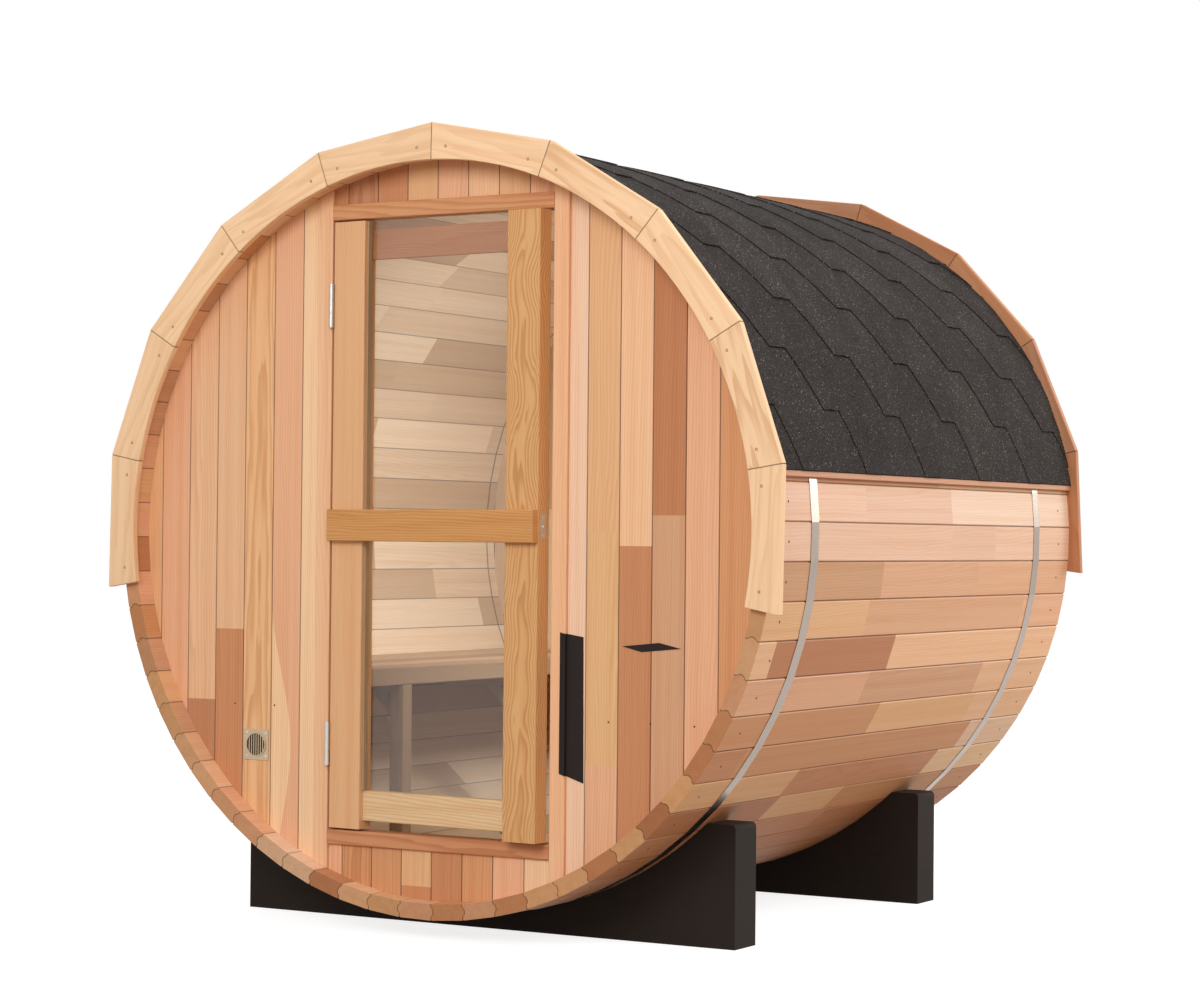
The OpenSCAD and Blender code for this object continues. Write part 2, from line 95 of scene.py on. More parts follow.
# A narrow saw cut round the inner faces, whose shadow is painted as a dark line
KERF_Y = 0.748
KERF_SHADE_HALF = 2.0 * MM
# Farther than any board reaches from the frame's origin
FARTHEST = 2.0

# Roof
ROOF_EDGE = math.radians(8.6)
COURSE_COUNT = 9
COURSE_STEP = (math.pi / 2 - ROOF_EDGE) / COURSE_COUNT
ROOF_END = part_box("roof_right")[1].y
ROOF_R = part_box("roof_right")[1].z - AXIS_Z

# Trim rings
TRIM_STEP = math.radians(20)
TRIM_START = math.radians(-10)
TRIM_COUNT = 10
TRIM_R = 0.898
FRONT_TURN = math.radians(-1)
REAR_TURN = math.radians(2.6)
REAR_RISE = 0.024
TRIM_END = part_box("rear_trim")[1].y

# End walls
WALL_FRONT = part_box("front_wall_left")[0].y
JAMB_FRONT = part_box("door_jamb_right")[0].y
WALL_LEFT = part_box("door_jamb_left")[0].x
WALL_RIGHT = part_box("door_jamb_right")[1].x
BOARD_PITCH = 0.086
JAMB_BOARD = 0.050
BOARD_SHIFT = -0.013


def tone(red, green, blue):
    """A colour given as it is seen, from 0 to 255, as Blender takes it."""
    channels = [value / 255 for value in (red, green, blue)]
    return tuple(c / 12.92 if c <= 0.04045 else ((c + 0.055) / 1.055) ** 2.4 for c in channels) + (1.0,)


ROSE = tone(232, 178, 141)
SALMON = tone(214, 154, 108)
PEACH = tone(238, 190, 150)
TAN = tone(230, 180, 134)
HONEY = tone(205, 149, 90)
AMBER = tone(220, 169, 114)
GOLD = tone(236, 185, 137)
STRAW = tone(232, 184, 134)
RUST = tone(202, 140, 98)
UMBER = tone(190, 134, 98)
SIENNA = tone(188, 126, 85)
FAWN = tone(213, 163, 127)
CREAM = tone(246, 207, 166)
BLUSH = tone(244, 205, 175)
SHELL = tone(225, 183, 155)
PEARL = tone(233, 200, 175)
TAWNY = tone(196, 148, 110)
BISQUE = tone(220, 169, 131)
IVORY = tone(224, 190, 148)
BEIGE = tone(225, 202, 172)
CHALK = tone(237, 217, 189)
STONE = tone(203, 176, 144)
DUST = tone(178, 151, 121)
DRAB = tone(172, 142, 108)


# Node trees

class Shader:
    """One material's nodes, with a call for each kind that is used here."""

    def __init__(self, name):
        self.material = bpy.data.materials.new(name)
        self.material.use_nodes = True
        self.nodes = self.material.node_tree.nodes
        self.links = self.material.node_tree.links
        self.surface = self.nodes["Principled BSDF"]

    def feed(self, socket, value):
        """Links a socket to another one, or gives it a plain value."""
        if isinstance(value, bpy.types.NodeSocket):
            self.links.new(value, socket)
        else:
            socket.default_value = value

    def paint(self, **values):
        """Feeds the surface's inputs, named with _ for a space."""
        for name, value in values.items():
            self.feed(self.surface.inputs[name.replace("_", " ")], value)

    def math(self, operation, *values):
        """One step of arithmetic on sockets or numbers."""
        node = self.nodes.new("ShaderNodeMath")
        node.operation = operation
        for socket, value in zip(node.inputs, values):
            self.feed(socket, value)
        return node.outputs[0]

    def place(self):
        """The three coordinates of the shaded point in the frame."""
        node = self.nodes.new("ShaderNodeTexCoord")
        return self.parts(node.outputs["Object"])

    def equals(self, value, number):
        """1 where a whole number is this one, and 0 elsewhere."""
        return self.math("COMPARE", value, float(number), 0.1)

    def parts(self, vector):
        """The three parts of a vector or a colour."""
        node = self.nodes.new("ShaderNodeSeparateXYZ")
        self.feed(node.inputs[0], vector)
        return tuple(node.outputs)

    def vector(self, x, y, z):
        """A vector of three sockets or numbers."""
        node = self.nodes.new("ShaderNodeCombineXYZ")
        for socket, value in zip(node.inputs, (x, y, z)):
            self.feed(socket, value)
        return node.outputs[0]

    def scaled(self, place, by):
        """A place with each coordinate multiplied by its own scale."""
        return self.vector(*(self.math("MULTIPLY", p, b) for p, b in zip(place, by)))

    def noise(self, vector, scale=1.0, detail=2.0, roughness=0.5):
        """Smooth noise from 0 to 1."""
        node = self.nodes.new("ShaderNodeTexNoise")
        self.feed(node.inputs["Vector"], vector)
        node.inputs["Scale"].default_value = scale
        node.inputs["Detail"].default_value = detail
        node.inputs["Roughness"].default_value = roughness
        return node.outputs["Fac"]

    def cells(self, vector, scale):
        """The distance to the nearest cell's middle and that cell's random number."""
        node = self.nodes.new("ShaderNodeTexVoronoi")
        self.feed(node.inputs["Vector"], vector)
        node.inputs["Scale"].default_value = scale
        return node.outputs["Distance"], self.parts(node.outputs["Color"])[0]

    def lot(self, *keys):
        """Three random numbers that stay the same for the same keys."""
        node = self.nodes.new("ShaderNodeTexWhiteNoise")
        node.noise_dimensions = "3D"
        self.feed(node.inputs["Vector"], self.vector(*(keys + (0.0, 0.0))[:3]))
        return self.parts(node.outputs["Color"])

    def span(self, value, low, high, to_low=0.0, to_high=1.0, smooth=False):
        """A value's place between two limits, carried over to two others."""
        node = self.nodes.new("ShaderNodeMapRange")
        node.interpolation_type = "SMOOTHSTEP" if smooth else "LINEAR"
        for socket, number in zip(node.inputs, (value, low, high, to_low, to_high)):
            self.feed(socket, number)
        return node.outputs[0]

    def steps(self, value, colours):
        """One of several colours, in equal steps of a value from 0 to 1."""
        node = self.nodes.new("ShaderNodeValToRGB")
        ramp = node.color_ramp
        ramp.interpolation = "CONSTANT"
        while len(ramp.elements) < len(colours):
            ramp.elements.new(1.0)
        for index, colour in enumerate(colours):
            ramp.elements[index].position = index / len(colours)
            ramp.elements[index].color = colour
        self.feed(node.inputs[0], value)
        return node.outputs[0]

    def mix(self, share, first, second, blend="MIX"):
        """Two colours blended by a share of the second."""
        node = self.nodes.new("ShaderNodeMix")
        node.data_type = "RGBA"
        node.blend_type = blend
        self.feed(node.inputs["Factor"], share)
        self.feed(node.inputs[6], first)
        self.feed(node.inputs[7], second)
        return node.outputs[2]

    def tinted(self, share, colour, tint):
        """A colour multiplied by a tint, by a share."""
        return self.mix(share, colour, self.mix(1.0, colour, tint, "MULTIPLY"))

    def shade(self, colour, by):
        """A colour made lighter or darker by a number."""
        node = self.nodes.new("ShaderNodeVectorMath")
        node.operation = "SCALE"
        plain = isinstance(colour, tuple)
        self.feed(node.inputs[0], colour[:3] if plain else colour)
        self.feed(node.inputs["Scale"], by)
        return node.outputs[0]

    def bump(self, height, depth, strength=1.0):
        """Lights the surface as if it were raised by a height from 0 to 1, times a depth."""
        node = self.nodes.new("ShaderNodeBump")
        node.inputs["Distance"].default_value = depth
        node.inputs["Strength"].default_value = strength
        self.feed(node.inputs["Height"], height)
        self.links.new(node.outputs[0], self.surface.inputs["Normal"])

    def polar(self, place, rise=0.0):
        """Distance from the barrel's axis, and the angle round it."""
        x, _, z = place
        height = self.math("SUBTRACT", z, AXIS_Z + rise)
        squares = self.math("ADD", self.math("MULTIPLY", x, x), self.math("MULTIPLY", height, height))
        return self.math("SQRT", squares), self.math("ARCTAN2", height, x)


# Boards: each of these gives the place along, across and into a board, its number,
# and how far its nearest joint is

def staves(s, place):
    """Staves round the barrel, with joints bent round the beads, which point up on both sides."""
    radius, angle = s.polar(place)
    off_middle = s.math("SUBTRACT", radius, STAVE_MID)
    square = s.math("SUBTRACT", BEAD_R ** 2, s.math("MULTIPLY", off_middle, off_middle))
    bead = s.math("SUBTRACT", s.math("SQRT", s.math("MAXIMUM", square, 0.0)), BEAD_SET)
    upward = s.math("MULTIPLY", s.math("MAXIMUM", bead, 0.0), s.math("SIGN", place[0]))
    bend = s.math("DIVIDE", upward, radius)
    turned = s.math("SUBTRACT", s.math("SUBTRACT", angle, bend), STAVE_TURN)
    count = s.math("DIVIDE", turned, STAVE_STEP)
    number = s.math("FLOOR", count)
    share = s.math("SUBTRACT", s.math("SUBTRACT", count, number), 0.5)
    width = s.math("MULTIPLY", radius, STAVE_STEP)
    across = s.math("MULTIPLY", share, width)
    joint = s.math("SUBTRACT", s.math("MULTIPLY", width, 0.5), s.math("ABSOLUTE", across))
    # The saw cut counts as a joint, on the inner faces alone, so it takes the joints' line of painted
    # shade
    off_kerf = s.math("SUBTRACT", s.math("ABSOLUTE", s.math("SUBTRACT", place[1], KERF_Y)), KERF_SHADE_HALF)
    kerf = s.math("ADD", off_kerf, s.math("GREATER_THAN", off_middle, INNER_FACE))
    nearest = s.math("MINIMUM", joint, kerf)
    return place[1], across, off_middle, s.math("FLOORED_MODULO", number, STAVE_COUNT), nearest


def wall(first_joint, sign=1.0):
    """Upright boards of one pitch, counted from a joint towards one side."""
    def boards(s, place):
        x, y, z = place
        count = s.math("MULTIPLY", s.math("SUBTRACT", x, first_joint), sign / BOARD_PITCH)
        number = s.math("FLOOR", count)
        share = s.math("SUBTRACT", s.math("SUBTRACT", count, number), 0.5)
        across = s.math("MULTIPLY", share, BOARD_PITCH)
        joint = s.math("SUBTRACT", BOARD_PITCH / 2, s.math("ABSOLUTE", across))
        depth = s.math("SUBTRACT", s.math("ABSOLUTE", y), abs(WALL_FRONT))
        return z, across, depth, number, joint
    return boards


def trim(turn, rise):
    """Boards of a trim ring, each lying along its own side of the ring."""
    def boards(s, place):
        x, y, z = place
        radius, angle = s.polar(place, rise)
        from_start = s.math("FLOORED_MODULO", s.math("SUBTRACT", angle, TRIM_START + turn), 2 * math.pi)
        count = s.math("DIVIDE", from_start, TRIM_STEP)
        number = s.math("FLOOR", count)
        middle = s.math("ADD", s.math("MULTIPLY", number, TRIM_STEP), TRIM_START + turn + TRIM_STEP / 2)
        cosine, sine = s.math("COSINE", middle), s.math("SINE", middle)
        height = s.math("SUBTRACT", z, AXIS_Z + rise)
        along = s.math("SUBTRACT", s.math("MULTIPLY", height, cosine), s.math("MULTIPLY", x, sine))
        outward = s.math("ADD", s.math("MULTIPLY", x, cosine), s.math("MULTIPLY", height, sine))
        # Only the mitres between two boards are joints, and the ring's free ends aren't
        mitre = s.math("MINIMUM", s.math("MAXIMUM", s.math("ROUND", count), 1.0), TRIM_COUNT - 1.0)
        off_mitre = s.math("ABSOLUTE", s.math("SUBTRACT", count, mitre))
        joint = s.math("MULTIPLY", s.math("MULTIPLY", off_mitre, TRIM_STEP), radius)
        return along, s.math("SUBTRACT", outward, TRIM_R), y, number, joint
    return boards


def bar(axis, node, pitch=None):
    """One bar along an axis, or a row of bars at a pitch across it."""
    low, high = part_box(node)
    middle = (low + high) / 2
    size = high - low
    others = sorted((k for k in range(3) if k != axis), key=lambda k: -size[k])

    def boards(s, place):
        across = s.math("SUBTRACT", place[others[0]], middle[others[0]])
        depth = s.math("SUBTRACT", place[others[1]], middle[others[1]])
        number = 0.0
        if pitch:
            count = s.math("DIVIDE", s.math("SUBTRACT", place[others[0]], low[others[0]]), pitch)
            number = s.math("FLOOR", count)
        return place[axis], across, depth, number, None
    return boards


# Colours of boards: each of these gives a colour and the number of the piece of a board

def pick(*colours):
    """Each board takes one of several colours by lot."""
    def colour(s, along, depth, number, lot):
        return s.steps(lot[0], colours), 0.0
    return colour


def in_pieces(s, along, index, rows):
    """Boards in up to three pieces: their colours, then the places of two joints along them."""
    share = s.math("DIVIDE", s.math("ADD", index, 0.5), len(rows))
    first, second, third = (s.steps(share, [row[k] for row in rows]) for k in range(3))
    # The joints' places pass through a ramp too, which holds values from 0 to 1
    places = [[0.5 + place / 2 / FARTHEST for place in row[3:]] for row in rows]
    joints = s.parts(s.steps(share, [(lower, upper, 0.0, 1.0) for lower, upper in places]))[:2]
    before = [s.math("LESS_THAN", along, s.span(joint, 0.0, 1.0, -FARTHEST, FARTHEST)) for joint in joints]
    return s.mix(before[0], s.mix(before[1], third, second), first), s.math("ADD", *before)


def known_rows(s, along, number, rows, colour, section):
    """Known colours of the staves below the roof on the right, over those drawn by lot, with the shade
    under the barrel partly painted into the lowest ones.
    """
    row = s.math("FLOORED_MODULO", s.math("MULTIPLY", number, -1.0), STAVE_COUNT)
    pieces, known = in_pieces(s, along, row, rows)
    is_known = s.math("LESS_THAN", row, len(rows) - 0.5)
    return s.mix(is_known, colour, pieces), s.span(is_known, 0.0, 1.0, section, known)


# Pieces of jointed boards: the range of their lengths, and how far their joints are spread
PIECE_RANGE = (0.7, 1.35)
PIECE_SPREAD = 7.0


def jointed(length, colours, inner, reach, known=()):
    """Boards joined end to end from pieces of several colours, and other ones inside the room."""
    def colour(s, along, depth, number, lot):
        run = s.math("MULTIPLY", s.span(lot[1], 0.0, 1.0, *PIECE_RANGE), length)
        count = s.math("ADD", s.math("DIVIDE", along, run), s.math("MULTIPLY", lot[2], PIECE_SPREAD))
        section = s.math("FLOOR", count)
        chance = s.lot(number, section, 3.0)[0]
        outer = s.steps(chance, colours)
        if known:
            outer, section = known_rows(s, along, number, known, outer, section)
        in_reach = s.math("LESS_THAN", s.math("ABSOLUTE", along), reach)
        inside = s.math("MULTIPLY", s.math("LESS_THAN", depth, INNER_FACE), in_reach)
        return s.mix(inside, outer, s.steps(chance, inner)), section
    return colour


def by_board(rows):
    """Known colours of each board, from the bottom up."""
    def colour(s, along, depth, number, lot):
        return in_pieces(s, along, number, rows)
    return colour


def whole(colour):
    """A board in one piece."""
    return colour, colour, colour, 0.0, 0.0


def split(upper, lower, height):
    """A board in two pieces that meet at a height."""
    return lower, lower, upper, 0.0, height


# Wood

# Tints
LATE_WOOD = (0.74, 0.60, 0.46, 1.0)
WARM_STREAK = (0.93, 0.83, 0.74, 1.0)
KNOT = (0.40, 0.26, 0.17, 1.0)
END_GRAIN = (0.70, 0.63, 0.54, 1.0)

# Growth rings: the range of the pith's place beside a board and behind it, and of the taper along it
PITH_SIDE = (0.03, 0.22)
PITH_BEHIND = (0.03, 0.12)
RING_TAPER = (0.008, 0.03)
# Scales of the rings' waves along a board and across it, and the waves' height in rings
RING_WAVES = (3.0, 32.0)
RING_ROUGH = 2.4
# Where the late wood starts, is darkest and stops, as shares of a ring
LATE_START, LATE_FULL, LATE_STOP = 0.25, 0.85, 0.9
# How much more the rings show in boards cut flat from the log
FLAT_SAWN_FIGURE = 0.35

# Scales of the other marks along a board and across it
STREAKS = (0.9, 48.0)
FIBRES = (14.0, 620.0)
KNOTS = (9.0, 9.0)
KNOT_RARE = 0.96
KNOT_RIM = (0.025, 0.06)

# How far the marks of two boards, and of two pieces of a board, are moved apart
BOARD_APART = 9.0
PIECE_APART = 4.3

# The line of painted shade beside a joint, where the gap between boards lies in shadow: where it starts to
# fade and where it ends, and how dark it is
JOINT_SHADE_WIDTH = (0.6 * MM, 2.2 * MM)
JOINT_SHADE_LEVEL = 0.42

# Sapwood along one edge of a board: three heights, then its width and the share of it at the foot
SAP_TOP = 0.80
SAP_WIDEST = 0.43
SAP_FOOT = 0.10
SAP_WIDTH = 0.061
SAP_SHARE_AT_FOOT = 0.35
SAP_BLUR = 2.0 * MM


def stretched(s, along, across, depth, scales, offset):
    """A place in a board for noise with one scale along the board and another across it."""
    by_length, by_width = scales
    return s.vector(
        s.math("MULTIPLY", along, by_length),
        s.math("MULTIPLY", across, by_width),
        s.math("ADD", s.math("MULTIPLY", depth, by_width), offset),
    )


def growth_rings(s, along, across, depth, drift, lot, offset, ring, sway):
    """1 in the dark late wood of each ring round a pith that lies behind the board."""
    wander = s.math("MULTIPLY", s.math("SUBTRACT", s.noise(drift, detail=1.0), 0.5), sway * 2)
    sideways = s.math("SUBTRACT", s.math("SUBTRACT", across, offset), wander)
    inward = s.math("ADD", depth, s.span(lot[1], 0.0, 1.0, *PITH_BEHIND))
    squares = s.math("ADD", s.math("MULTIPLY", sideways, sideways), s.math("MULTIPLY", inward, inward))
    taper = s.math("MULTIPLY", along, s.span(lot[2], 0.0, 1.0, *RING_TAPER))
    distance = s.math("ADD", s.math("SQRT", squares), taper)
    wave = s.noise(stretched(s, along, across, depth, RING_WAVES, lot[0]))
    rough = s.math("MULTIPLY", s.math("SUBTRACT", wave, 0.5), ring * RING_ROUGH)
    growth = s.math("FRACT", s.math("DIVIDE", s.math("ADD", distance, rough), ring))
    darkening = s.span(growth, LATE_START, LATE_FULL, smooth=True)
    return s.math("MULTIPLY", darkening, s.span(growth, LATE_STOP, 1.0, 1.0, 0.0, smooth=True))


def sap_edge(s, along, across, number, board):
    """1 in the pale sapwood along an edge of one board, which widens down it and narrows again."""
    upper = s.span(along, SAP_TOP, SAP_WIDEST, 0.0, SAP_WIDTH, smooth=True)
    lower = s.span(along, SAP_FOOT, SAP_WIDEST, SAP_SHARE_AT_FOOT, 1.0, smooth=True)
    from_edge = s.math("SUBTRACT", BOARD_PITCH / 2, across)
    inside = s.span(s.math("SUBTRACT", s.math("MULTIPLY", upper, lower), from_edge), 0.0, SAP_BLUR)
    return s.math("MULTIPLY", inside, s.equals(number, board))


def wood(
    name, boards, colours, seed, ring=0.006, figure=0.3, sway=0.02, bends=1.6,
    flat_sawn=(), ends=None, sap_board=None,
):
    """Planed wood: growth rings, streaks, fibres, a few knots, and a line of painted shade at each joint.
    """
    s = Shader(name)
    along, across, depth, number, joint = boards(s, s.place())
    base, section = colours(s, along, depth, number, s.lot(number, seed, 2.0))
    if sap_board is not None:
        base = s.mix(sap_edge(s, along, across, number, sap_board), base, CREAM)
    lot = s.lot(number, section, seed)
    mark = s.math("ADD", s.math("MULTIPLY", number, BOARD_APART), s.math("MULTIPLY", section, PIECE_APART))

    # Boards cut flat from the log show wide arches, and the others show straight lines
    offset, strength = s.span(lot[0], 0.0, 1.0, *PITH_SIDE), figure
    for board in flat_sawn:
        is_flat = s.equals(number, board)
        offset = s.math("MULTIPLY", offset, s.math("SUBTRACT", 1.0, is_flat))
        strength = s.math("ADD", strength, s.math("MULTIPLY", is_flat, FLAT_SAWN_FIGURE))
    drift = s.vector(s.math("MULTIPLY", along, bends), mark, lot[2])
    late = growth_rings(s, along, across, depth, drift, lot, offset, ring, sway)

    streak = s.noise(stretched(s, along, across, depth, STREAKS, mark), detail=3.0, roughness=0.55)
    fibre = s.noise(stretched(s, along, across, depth, FIBRES, mark), roughness=0.6)
    knot_distance, knot_chance = s.cells(stretched(s, along, across, depth, KNOTS, mark), 1.0)
    has_knot = s.math("GREATER_THAN", knot_chance, KNOT_RARE)
    in_knot = s.math("MULTIPLY", has_knot, s.span(knot_distance, *KNOT_RIM, 1.0, 0.0, smooth=True))

    colour = s.tinted(s.math("MULTIPLY", late, strength), base, LATE_WOOD)
    colour = s.tinted(s.span(streak, 0.42, 0.72, 0.0, 0.8), colour, WARM_STREAK)
    colour = s.tinted(in_knot, colour, KNOT)
    if ends:
        colour = s.tinted(s.math("GREATER_THAN", s.math("ABSOLUTE", along), ends), colour, END_GRAIN)
    level = s.math("MULTIPLY", s.span(fibre, 0.25, 0.75, 0.95, 1.04), s.span(lot[1], 0.0, 1.0, 0.96, 1.04))
    # Painted shade along each joint, darkest at the joint and fading out beside it
    if joint is not None:
        level = s.math("MULTIPLY", level, s.span(joint, *JOINT_SHADE_WIDTH, JOINT_SHADE_LEVEL, 1.0, smooth=True))
    s.paint(
        Base_Color=s.shade(colour, level),
        Roughness=s.span(fibre, 0.2, 0.8, 0.50, 0.66),
        Specular_IOR_Level=0.35,
    )
    s.bump(s.math("SUBTRACT", fibre, s.math("MULTIPLY", late, 0.6)), 0.25 * MM, 0.5)
    return s.material


# Other materials

GRANULES_IN_METRE = 430.0
GAUZE_PITCH = 1.2 * MM


def shingle_felt():
    """Bitumen covered in charcoal granules, a few of them pale."""
    s = Shader("shingle_granules")
    x, y, z = s.place()
    place = s.vector(x, y, z)
    distance, chance = s.cells(place, GRANULES_IN_METRE)
    patch = s.noise(place, 9.0, 3.0)
    dark = s.mix(chance, tone(16, 13, 12), tone(66, 59, 56))
    worn = s.mix(s.span(patch, 0.4, 0.7, 0.0, 0.25), dark, tone(70, 64, 60))
    pale = s.math("GREATER_THAN", chance, s.span(patch, 0.3, 0.75, 0.995, 0.972))
    # Each tab is a loose part of its mesh, and takes its own grey
    tab = s.nodes.new("ShaderNodeNewGeometry").outputs["Random Per Island"]
    granules = s.shade(s.mix(pale, worn, tone(126, 122, 117)), s.span(tab, 0.0, 1.0, 0.84, 1.14))
    s.paint(Base_Color=granules, Roughness=0.95, Specular_IOR_Level=0.15)
    s.bump(s.math("SUBTRACT", 1.0, distance), 0.9 * MM, 0.8)
    return s.material


def brushed_steel(name, colour, roughness=0.28, round_barrel=False):
    """Steel with fine lines, which run upright or round the barrel."""
    s = Shader(name)
    x, y, z = s.place()
    if round_barrel:
        _, angle = s.polar((x, y, z))
        along = s.scaled((angle, y, 0.0), (6.0, 1800.0, 0.0))
    else:
        along = s.scaled((x, y, z), (900.0, 900.0, 60.0))
    lines = s.noise(along, detail=3.0)
    patch = s.noise(s.vector(x, y, z), 14.0)
    s.paint(
        Base_Color=s.shade(colour, s.span(lines, 0.2, 0.8, 0.86, 1.06)),
        Roughness=s.math(
            "ADD",
            s.span(lines, 0.2, 0.8, roughness - 0.06, roughness + 0.08),
            s.span(patch, 0.3, 0.7, -0.03, 0.05),
        ),
        Metallic=1.0,
    )
    s.bump(lines, 0.05 * MM, 0.3)
    return s.material


def cradle_paint():
    """Thin matt black paint over sawn timber."""
    s = Shader("cradle_paint")
    x, y, z = s.place()
    grain = s.noise(s.scaled((x, y, z), (6.0, 240.0, 240.0)), detail=3.0, roughness=0.6)
    patch = s.noise(s.vector(x, y, z), 5.0, 3.0)
    colour = s.mix(grain, tone(34, 28, 25), tone(48, 40, 36))
    s.paint(
        Base_Color=s.mix(s.span(patch, 0.4, 0.8, 0.0, 0.4), colour, tone(54, 45, 41)),
        Roughness=s.span(grain, 0.3, 0.7, 0.62, 0.8),
        Specular_IOR_Level=0.1,
    )
    s.bump(grain, 0.5 * MM, 0.4)
    return s.material


def black_plate():
    """Flat dark film on the front wall."""
    s = Shader("black_plate")
    x, y, z = s.place()
    speck = s.noise(s.vector(x, y, z), 300.0, 3.0)
    s.paint(
        Base_Color=s.mix(speck, tone(34, 28, 26), tone(46, 38, 36)),
        Roughness=s.span(speck, 0.3, 0.7, 0.55, 0.7),
        Specular_IOR_Level=0.12,
    )
    s.bump(speck, 0.1 * MM, 0.3)
    return s.material


def woven_gauze():
    """Fine dark wire cloth."""
    s = Shader("woven_gauze")
    x, _, z = s.place()
    wires = [s.math("SINE", s.math("MULTIPLY", place, 2 * math.pi / GAUZE_PITCH)) for place in (x, z)]
    threads = s.math("MAXIMUM", *wires)
    colour = s.mix(s.span(threads, 0.3, 1.0), tone(12, 9, 8), tone(40, 32, 27))
    s.paint(Base_Color=colour, Roughness=0.6)
    s.bump(threads, 0.2 * MM, 0.5)
    return s.material


def clear_glass():
    """Clear pane that lets lamps and soft light through."""
    s = Shader("clear_glass")
    s.paint(
        Base_Color=(0.965, 0.965, 0.95, 1.0),
        Roughness=0.0,
        IOR=1.45,
        Specular_IOR_Level=0.15,
        Transmission_Weight=1.0,
    )
    path = s.nodes.new("ShaderNodeLightPath")
    through = s.nodes.new("ShaderNodeBsdfTransparent")
    through.inputs["Color"].default_value = (0.94, 0.94, 0.92, 1.0)
    either = s.math("MAXIMUM", path.outputs["Is Shadow Ray"], path.outputs["Is Diffuse Ray"])
    mixed = s.nodes.new("ShaderNodeMixShader")
    s.links.new(either, mixed.inputs[0])
    s.links.new(s.surface.outputs[0], mixed.inputs[1])
    s.links.new(through.outputs[0], mixed.inputs[2])
    s.links.new(mixed.outputs[0], s.nodes["Material Output"].inputs["Surface"])
    return s.material


def fastener_metal(name, colour, roughness):
    """Small heads of dulled metal."""
    s = Shader(name)
    x, y, z = s.place()
    stain = s.noise(s.vector(x, y, z), 700.0)
    s.paint(
        Base_Color=s.shade(colour, s.span(stain, 0.3, 0.7, 0.75, 1.15)),
        Roughness=s.span(stain, 0.3, 0.7, roughness - 0.1, roughness + 0.1),
        Metallic=0.7,
    )
    return s.material


# Meshes

def piece(name, mesh, body, material):
    """A finished mesh as an object that moves with a body."""
    data = bpy.data.meshes.new(name)
    mesh.to_mesh(data)
    mesh.free()
    data.materials.append(material)
    thing = bpy.data.objects.new(name, data)
    bpy.context.scene.collection.objects.link(thing)
    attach(thing, body)
    return thing


def thicken(thing, thickness, side):
    """Makes a sheet solid: below its faces for -1, and to both sides of them for 0."""
    solid = thing.modifiers.new("thickness", "SOLIDIFY")
    solid.thickness = thickness
    solid.offset = side
    return thing


def on_barrel(radius, angle, y):
    """A point at a radius and an angle round the barrel's axis."""
    return Vector((radius * math.cos(angle), y, AXIS_Z + radius * math.sin(angle)))


def head(mesh, at, outward, rings, sides=14):
    """A small turned head: rings of radius and height above a surface, closed by a middle face."""
    normal = outward.normalized()
    across = normal.orthogonal().normalized()
    up = normal.cross(across)
    loops = []
    for radius, height in rings:
        loop = []
        for k in range(sides):
            turn = 2 * math.pi * k / sides
            offset = (across * math.cos(turn) + up * math.sin(turn)) * radius
            loop.append(mesh.verts.new(at + offset + normal * height))
        loops.append(loop)
    for lower, upper in zip(loops, loops[1:]):
        for k in range(sides):
            mesh.faces.new((lower[k], lower[(k + 1) % sides], upper[(k + 1) % sides], upper[k]))
    mesh.faces.new(loops[-1])
    mesh.faces.new(reversed(loops[0]))


def profile(*rings):
    """Rings of a turned head, from millimetres."""
    return [(radius * MM, height * MM) for radius, height in rings]


# A countersunk screw with a driver's recess, two nails set into wood, and a latch's ball
SCREW = profile((3.6, -0.6), (3.6, 0.2), (3.2, 0.5), (1.7, 0.4), (1.2, -0.4))
NAIL = profile((3.0, -0.5), (3.0, 0.15), (2.2, 0.3))
PIN = profile((2.2, -0.5), (2.2, 0.15), (1.6, 0.3))
BALL = profile((4.6, -0.5), (4.6, 0.5), (4.2, 2.0), (3.2, 3.2), (1.6, 4.0))


# Shingles

TAB_T = 2.4 * MM
TAB_PITCH = 0.333
TAB_FLAT = 0.085
TAB_SLANT = 0.081
TAB_PHASE = -0.5415
TAB_COLUMNS = 10
TAB_ROWS = 6
# Rows of points in courses above a tab's lower edge, where the next tabs cover it
TAB_COVERED = [1.01, 1.5, 2.0]
TAB_SEAM = 1.0 * MM
EDGE_WEAR = 1.3 * MM
TAB_LIFT = 0.2 * MM
# Thicknesses of felt that lie on each other at a tab's lower edge
TAB_LAYERS = 3.0


def tab_half_width(rows_up):
    """Half the width of a tab at a height in courses above its lower edge."""
    if rows_up <= 1.0:
        return TAB_FLAT / 2 + TAB_SLANT * rows_up
    return TAB_PITCH / 2 - TAB_SEAM


def sheet(mesh, mirror, rows):
    """Faces between rows of points, on one side of the ridge or the other."""
    way = Vector((mirror, 1, 1))
    lines = [[mesh.verts.new(point * way) for point in row] for row in rows]
    for lower, upper in zip(lines, lines[1:]):
        for k in range(len(lower) - 1):
            corners = [lower[k], lower[k + 1], upper[k + 1], upper[k]]
            mesh.faces.new(corners if mirror < 0 else reversed(corners))


def starter_strip(mesh, mirror):
    """A plain strip under the lowest course, which shows between its tabs."""
    rows = []
    for k in range(TAB_ROWS + 1):
        rows_up = k / TAB_ROWS
        lift = ROOF_R + TAB_LIFT + (TAB_LAYERS - 1.0 - rows_up) * TAB_T
        angle = ROOF_EDGE + COURSE_STEP * rows_up
        rows.append([on_barrel(lift, angle, y) for y in (-ROOF_END, ROOF_END)])
    sheet(mesh, mirror, rows)


